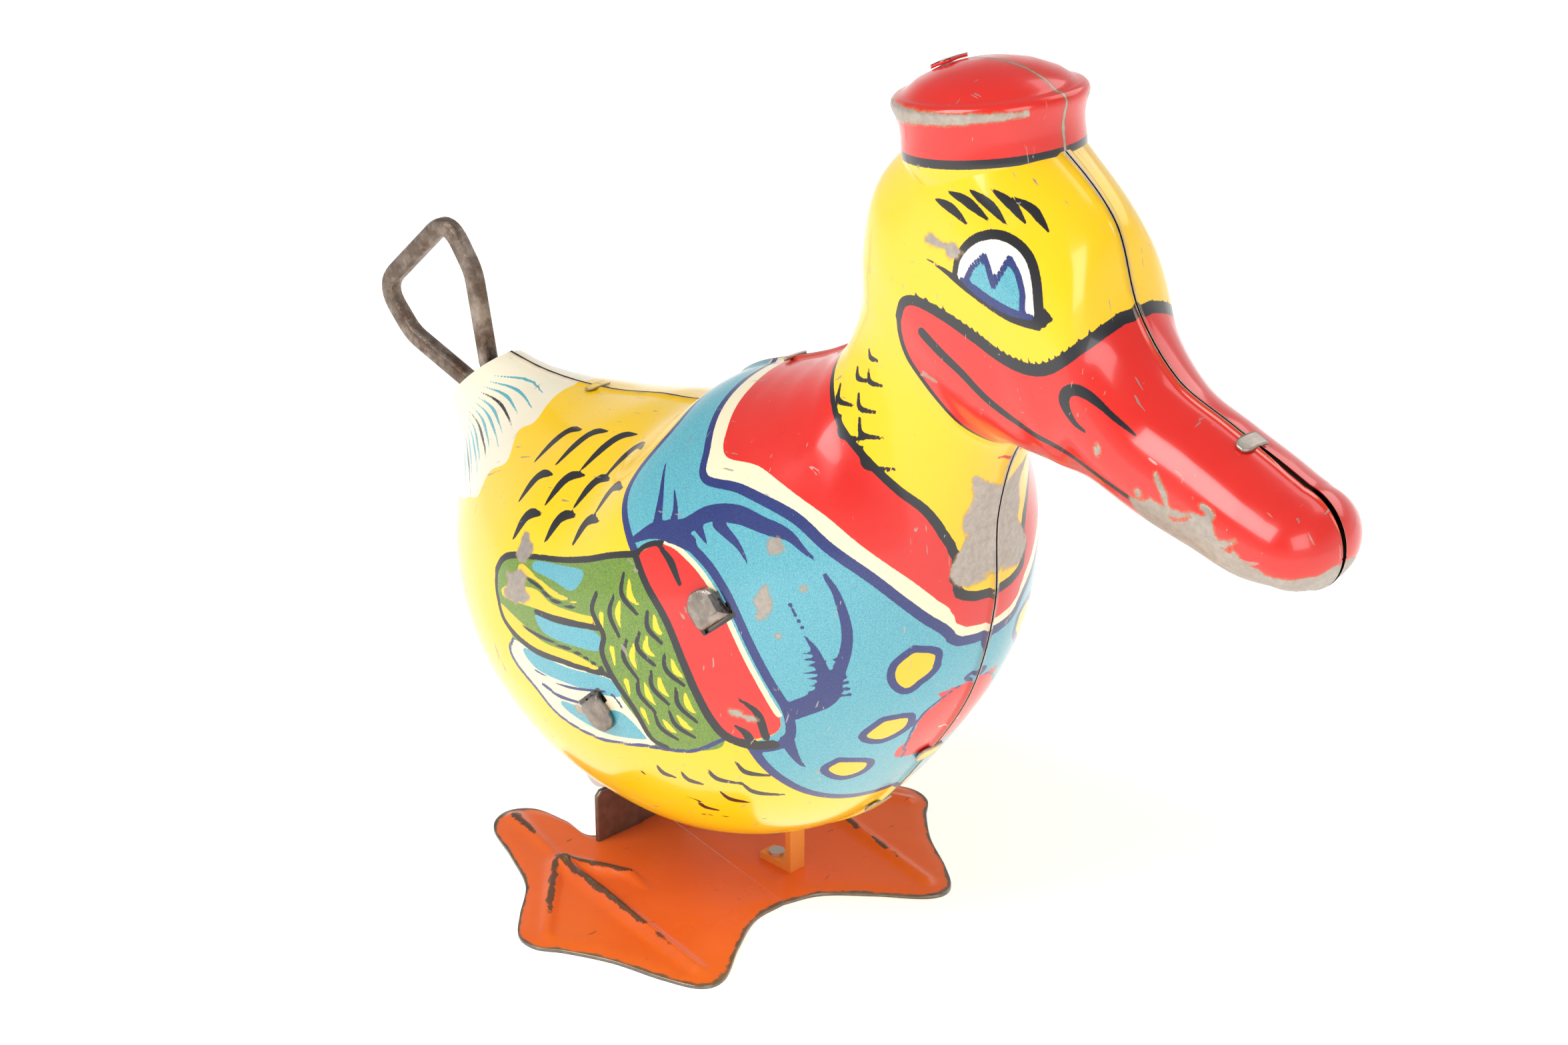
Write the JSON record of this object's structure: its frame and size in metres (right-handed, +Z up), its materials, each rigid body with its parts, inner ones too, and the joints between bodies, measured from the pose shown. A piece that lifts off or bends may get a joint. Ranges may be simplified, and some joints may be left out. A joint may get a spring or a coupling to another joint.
{
  "type": "wind-up hopping duck toy",
  "caption": "Tin wind-up duck with a winding key at the tail, clockwork inside and a hinged webbed feet plate that kicks down to make it hop.",
  "frame": {"origin": "on the plane of the soles, at the middle of the toy's length and width", "axes": "+X forward along the bill, +Y to the duck's left, +Z up"},
  "size_m": [0.1334, 0.0534, 0.0999],
  "materials": {
    "litho_tin": "printed tin, glossy, worn at the edges",
    "feet_paint": "orange enamel, worn",
    "key_steel": "aged dark steel",
    "frame_steel": "stamped sheet steel",
    "shaft_steel": "turned steel",
    "spring_steel": "blued spring steel",
    "gear_brass": "stamped brass",
    "bush_brass": "turned brass"
  },
  "bodies": {
    "body": {"right_shell": "litho_tin", "left_shell": "litho_tin", "frame_rear_plate": "frame_steel", "frame_front_plate": "frame_steel", "frame_pillars": "frame_steel", "rear_arbor_bush": "bush_brass", "front_arbor_bush": "bush_brass", "foot_hinge_bracket": "frame_steel", "foot_pivot_pin": "shaft_steel", "pivot_pin_clips": "shaft_steel", "mainspring": "spring_steel"},
    "key": {"winding_key": "key_steel", "key_arbor": "shaft_steel", "ratchet_wheel": "shaft_steel"},
    "drive": {"drive_gear": "gear_brass", "click_pawl": "frame_steel", "click_rivet": "shaft_steel", "click_spring": "spring_steel"},
    "intermediate": {"intermediate_shaft": "shaft_steel", "intermediate_pinion": "shaft_steel", "intermediate_wheel": "gear_brass"},
    "crank": {"crank_shaft": "shaft_steel", "crank_pinion": "shaft_steel", "crank_disc": "frame_steel", "crank_pin": "shaft_steel"},
    "feet": {"feet_plate": "feet_paint", "follower_post": "feet_paint", "follower_rivet": "shaft_steel", "foot_return_spring": "spring_steel"}
  },
  "joints": [
    {"name": "key_turn", "type": "hinge", "parent": "body", "child": "key", "pos_m": [-0.03612, 0, 0.03294], "axis": [0.6691, 0, -0.7431], "continuous": true, "deforming": ["mainspring"]},
    {"name": "drive_turn", "type": "hinge", "parent": "body", "child": "drive", "pos_m": [-0.02675, 0, 0.02253], "axis": [0.6691, 0, -0.7431], "continuous": true},
    {"name": "intermediate_turn", "type": "hinge", "parent": "body", "child": "intermediate", "pos_m": [-0.01999, 0, 0.02862], "axis": [0.6691, 0, -0.7431], "continuous": true},
    {"name": "crank_turn", "type": "hinge", "parent": "body", "child": "crank", "pos_m": [-0.01189, 0, 0.03322], "axis": [0.6691, 0, -0.7431], "continuous": true},
    {"name": "feet_kick", "type": "hinge", "parent": "body", "child": "feet", "pos_m": [-0.024, 0, 0.0095], "axis": [0, 1, 0], "range_deg": [0, 8], "stiffness_Nm_per_rad": 0.05, "springref_deg": -20.05, "deforming": ["foot_return_spring"]}
  ],
  "couplings": [
    {"joint": "drive_turn", "follows": "key_turn", "ratio": 1},
    {"joint": "intermediate_turn", "follows": "key_turn", "ratio": -2.5},
    {"joint": "crank_turn", "follows": "key_turn", "ratio": 6.25}
  ]
}
